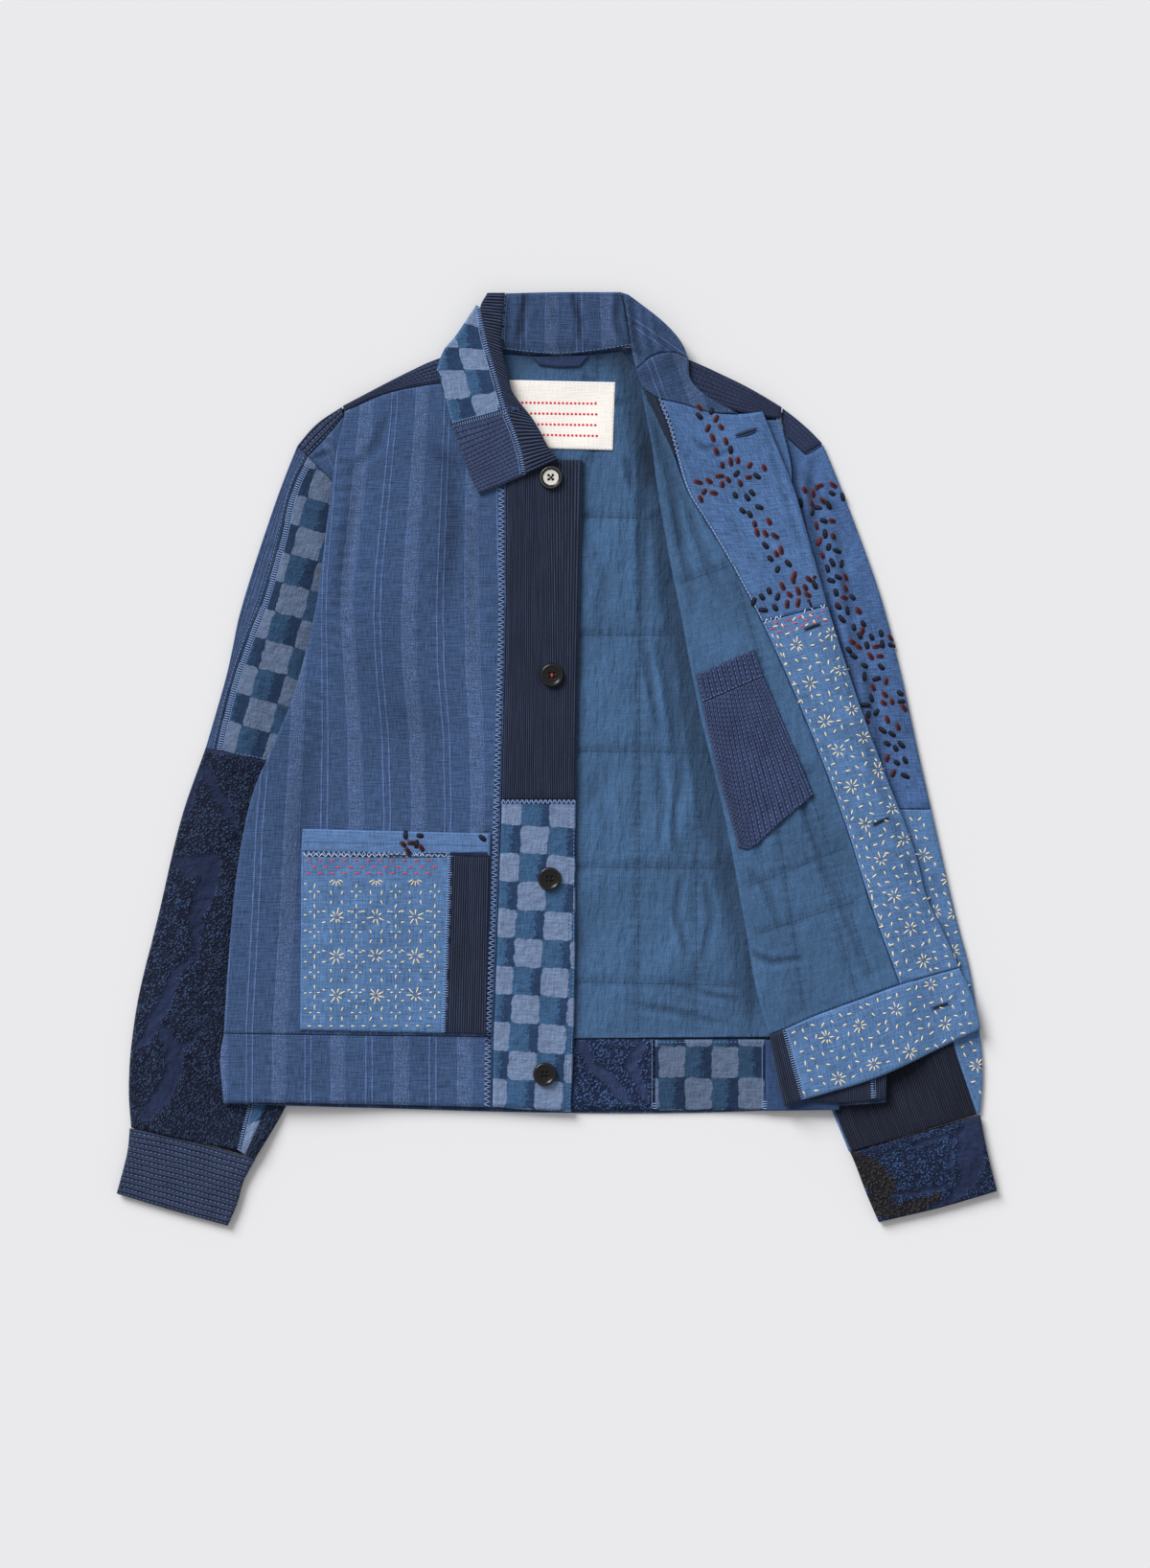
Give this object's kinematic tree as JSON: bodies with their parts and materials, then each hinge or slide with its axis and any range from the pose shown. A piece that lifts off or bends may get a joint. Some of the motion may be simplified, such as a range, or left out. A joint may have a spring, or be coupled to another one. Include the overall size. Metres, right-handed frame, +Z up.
{
  "type": "patched boro jacket",
  "caption": "Short button-front patchwork jacket in indigo cloths, laid flat on its back with one front folded open over its sleeve.",
  "frame": {"origin": "on the surface the jacket lies on, under the middle of its outline", "axes": "+X across the jacket to the wearer's left side, +Y from the hem to the collar, +Z up from the surface"},
  "size_m": [0.7356, 0.7797, 0.0177],
  "materials": {
    "striped": "woven cotton, indigo with lighter slubbed stripes",
    "corduroy": "needlecord cotton, near black navy",
    "lining": "plain cotton voile, quilted in a grid",
    "star_stitched": "plain cotton with cream running stitch",
    "plain_blue": "slubbed plain cotton",
    "dark_stitched": "navy cotton with rows of running stitch",
    "checked": "resist-dyed cotton, uneven checks",
    "looped": "cotton embroidered with low loops in leaf shapes",
    "label_cloth": "bleached cotton tape cloth",
    "horn": "polished horn"
  },
  "bodies": {
    "root": {"back": "striped", "front_right": "striped", "hem_band_right": "striped", "collar_back": "striped", "collar_fall": "striped", "collar_left": "striped", "collar_left_fold": "striped", "hanger_loop": "striped", "sleeve_right_strip": "striped", "sleeve_right_wedge": "striped", "placket_corduroy": "corduroy", "pocket_corduroy": "corduroy", "sleeve_left_corduroy": "corduroy", "collar_right_corduroy": "corduroy", "facing_neck": "corduroy", "hem_facing_corduroy": "corduroy", "hem_band_left": "corduroy", "back_lining": "lining", "front_left_lining": "lining", "pocket_star": "star_stitched", "facing_star": "star_stitched", "hem_facing_star": "star_stitched", "sleeve_left_star": "star_stitched", "sleeve_left_under": "star_stitched", "pocket_band": "plain_blue", "facing_plain": "plain_blue", "sleeve_left_plain": "plain_blue", "front_left": "plain_blue", "back_hem_plain": "plain_blue", "yoke_right": "dark_stitched", "yoke_left": "dark_stitched", "sleeve_right_head": "dark_stitched", "sleeve_left_head": "dark_stitched", "cuff_right_top": "dark_stitched", "cuff_right_under": "dark_stitched", "collar_right_dark": "dark_stitched", "inner_pocket": "dark_stitched", "inner_pocket_band": "dark_stitched", "placket_checked": "checked", "collar_right_checked": "checked", "sleeve_right_checked": "checked", "sleeve_right_sliver": "checked", "back_hem_checked": "checked", "sleeve_right_looped": "looped", "sleeve_right_inner": "looped", "sleeve_right_under": "looped", "back_hem_looped": "looped", "cuff_left_top": "looped", "cuff_left_under": "looped", "label": "label_cloth", "button_1": "horn", "button_2": "horn", "button_3": "horn", "button_4": "horn"}
  },
  "joints": []
}
